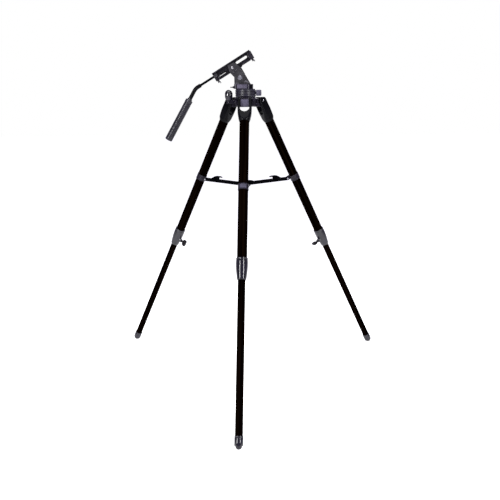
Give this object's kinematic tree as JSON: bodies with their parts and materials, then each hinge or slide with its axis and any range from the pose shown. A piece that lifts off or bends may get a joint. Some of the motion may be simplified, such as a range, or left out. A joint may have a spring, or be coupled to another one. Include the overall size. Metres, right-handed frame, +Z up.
{
  "type": "film camera tripod",
  "caption": "Folding tripod with telescopic legs, a mid-level spreader and a pan and tilt head with a slotted camera cradle and a bent pan handle.",
  "frame": {"origin": "on the floor, under the middle of the bounding box of the set-up tripod", "axes": "+Z up, one leg points to -Y, the handle hangs towards -X"},
  "size_m": [1.262, 1.0978, 1.4459],
  "materials": {
    "black_anodised": "black anodised satin",
    "black_plastic": "glossy moulded black plastic",
    "grey_casting": "grey-violet enamel on a casting",
    "dark_casting": "dark grey enamel",
    "rubber": "ribbed black rubber",
    "black_steel": "blackened steel",
    "bright_steel": "bright steel"
  },
  "bodies": {
    "root": {"crown": "dark_casting", "hinge_bolt_front": "black_steel", "hinge_bolt_left": "black_steel", "hinge_bolt_right": "black_steel", "head_plate": "dark_casting", "centre_bolt": "black_steel", "pan_base": "black_plastic"},
    "crown_clamp": {"crown_clamp_knob": "black_plastic"},
    "pan_lock": {"pan_lock_knob": "grey_casting"},
    "pan_head": {"turntable": "grey_casting", "turntable_block": "black_plastic", "upright": "dark_casting"},
    "latch": {"tilt_latch": "black_plastic"},
    "cradle": {"platform": "black_anodised", "platform_block_front": "black_anodised", "platform_block_rear": "black_anodised", "cheek_front": "grey_casting", "cheek_rear": "dark_casting", "cheek_screw_1": "black_steel", "cheek_screw_2": "black_steel", "cheek_screw_3": "black_steel", "rod_clamp_boss": "grey_casting", "tilt_bolt": "bright_steel", "tilt_nut": "black_steel"},
    "clamp_front": {"clamp_lever_front": "black_plastic"},
    "clamp_rear": {"clamp_lever_rear": "black_plastic"},
    "camera_dial": {"camera_screw": "bright_steel"},
    "handle": {"handle_rod": "black_anodised", "handle_sleeve": "black_anodised", "handle_grip": "rubber"},
    "hub": {"spreader_hub": "black_plastic"},
    "leg_front": {"fork_front": "black_plastic", "upper_tube_front": "black_anodised", "spreader_bracket_front": "grey_casting", "spreader_pin_front": "black_steel", "collar_front": "black_plastic"},
    "lower_front": {"lower_tube_front": "black_anodised", "foot_front": "rubber"},
    "lock_front": {"lock_knob_front": "black_plastic"},
    "arm_front": {"spreader_arm_front": "black_plastic"},
    "leg_left": {"fork_left": "black_plastic", "upper_tube_left": "black_anodised", "spreader_bracket_left": "grey_casting", "spreader_pin_left": "black_steel", "collar_left": "black_plastic"},
    "lower_left": {"lower_tube_left": "black_anodised", "foot_left": "rubber"},
    "lock_left": {"lock_knob_left": "black_plastic"},
    "arm_left": {"spreader_arm_left": "black_plastic"},
    "leg_right": {"fork_right": "black_plastic", "upper_tube_right": "black_anodised", "spreader_bracket_right": "grey_casting", "spreader_pin_right": "black_steel", "collar_right": "black_plastic"},
    "lower_right": {"lower_tube_right": "black_anodised", "foot_right": "rubber"},
    "lock_right": {"lock_knob_right": "black_plastic"},
    "arm_right": {"spreader_arm_right": "black_plastic"}
  },
  "joints": [
    {"name": "fold_front", "type": "hinge", "parent": "root", "child": "leg_front", "pos_m": [0, 0.1069, 1.23899], "axis": [1, 0, 0], "range_deg": [0, 25]},
    {"name": "fold_left", "type": "hinge", "parent": "root", "child": "leg_left", "pos_m": [-0.06062, 0.2119, 1.23899], "axis": [-0.5, -0.866, 0], "range_deg": [0, 25]},
    {"name": "fold_right", "type": "hinge", "parent": "root", "child": "leg_right", "pos_m": [0.06062, 0.2119, 1.23899], "axis": [-0.5, 0.866, 0], "range_deg": [0, 25]},
    {"name": "extend_front", "type": "slide", "parent": "leg_front", "child": "lower_front", "axis": [0, 0.4622, 0.8868], "range_m": [0, 0.48]},
    {"name": "lock_turn_front", "type": "hinge", "parent": "leg_front", "child": "lock_front", "pos_m": [0, -0.2319, 0.58898], "axis": [0, -0.8868, 0.4622], "range_deg": [0, 180]},
    {"name": "arm_swing_front", "type": "hinge", "parent": "leg_front", "child": "arm_front", "pos_m": [0, -0.03941, 0.88785], "axis": [1, 0, 0], "range_deg": [-105, 0]},
    {"name": "extend_left", "type": "slide", "parent": "leg_left", "child": "lower_left", "axis": [0.4003, -0.2311, 0.8868], "range_m": [0, 0.48]},
    {"name": "lock_turn_left", "type": "hinge", "parent": "leg_left", "child": "lock_left", "pos_m": [-0.35403, 0.3813, 0.58898], "axis": [-0.768, 0.4434, 0.4622], "range_deg": [0, 180]},
    {"name": "arm_swing_left", "type": "hinge", "parent": "leg_left", "child": "arm_left", "pos_m": [-0.18733, 0.28506, 0.88785], "axis": [-0.5, -0.866, 0], "range_deg": [-105, 0]},
    {"name": "extend_right", "type": "slide", "parent": "leg_right", "child": "lower_right", "axis": [-0.4003, -0.2311, 0.8868], "range_m": [0, 0.48]},
    {"name": "lock_turn_right", "type": "hinge", "parent": "leg_right", "child": "lock_right", "pos_m": [0.35403, 0.3813, 0.58898], "axis": [0.768, 0.4434, 0.4622], "range_deg": [0, 180]},
    {"name": "arm_swing_right", "type": "hinge", "parent": "leg_right", "child": "arm_right", "pos_m": [0.18733, 0.28506, 0.88785], "axis": [-0.5, 0.866, 0], "range_deg": [-105, 0]},
    {"name": "hub_drop", "type": "slide", "parent": "root", "child": "hub", "axis": [0, 0, 1], "range_m": [-0.2112, 0]},
    {"name": "crown_clamp_turn", "type": "hinge", "parent": "root", "child": "crown_clamp", "pos_m": [-0.07166, 0.16297, 1.23899], "axis": [0, 0, 1], "range_deg": [0, 180]},
    {"name": "pan_lock_turn", "type": "hinge", "parent": "root", "child": "pan_lock", "pos_m": [0, 0.1769, 1.27089], "axis": [1, 0, 0], "range_deg": [0, 180]},
    {"name": "pan", "type": "hinge", "parent": "root", "child": "pan_head", "pos_m": [0, 0.1769, 1.28739], "axis": [0, 0, 1], "continuous": true},
    {"name": "tilt", "type": "hinge", "parent": "pan_head", "child": "cradle", "pos_m": [-0.0221, 0.1769, 1.33339], "axis": [0, 1, 0], "range_deg": [-11, 75]},
    {"name": "latch_turn", "type": "hinge", "parent": "pan_head", "child": "latch", "pos_m": [-0.048, 0.1769, 1.29471], "axis": [1, 0, 0], "range_deg": [0, 90]},
    {"name": "handle_swing", "type": "hinge", "parent": "cradle", "child": "handle", "pos_m": [-0.0541, 0.1769, 1.38707], "axis": [0.859, 0, 0.512], "range_deg": [-90, 90]},
    {"name": "clamp_front_turn", "type": "hinge", "parent": "cradle", "child": "clamp_front", "pos_m": [0.03034, 0.1769, 1.41063], "axis": [-0.512, 0, 0.859], "range_deg": [0, 90]},
    {"name": "clamp_rear_turn", "type": "hinge", "parent": "cradle", "child": "clamp_rear", "pos_m": [-0.11637, 0.1769, 1.32318], "axis": [-0.512, 0, 0.859], "range_deg": [0, 90]},
    {"name": "camera_screw_turn", "type": "hinge", "parent": "cradle", "child": "camera_dial", "pos_m": [-0.02554, 0.1769, 1.33134], "axis": [-0.512, 0, 0.859], "continuous": true}
  ],
  "couplings": [
    {"joint": "fold_left", "follows": "fold_front", "ratio": 1},
    {"joint": "fold_right", "follows": "fold_front", "ratio": 1},
    {"joint": "arm_swing_front", "follows": "fold_front", "ratio": -4.1532},
    {"joint": "arm_swing_left", "follows": "fold_front", "ratio": -4.1532},
    {"joint": "arm_swing_right", "follows": "fold_front", "ratio": -4.1532},
    {"joint": "hub_drop", "follows": "fold_front", "m_per_rad": -0.48169}
  ]
}
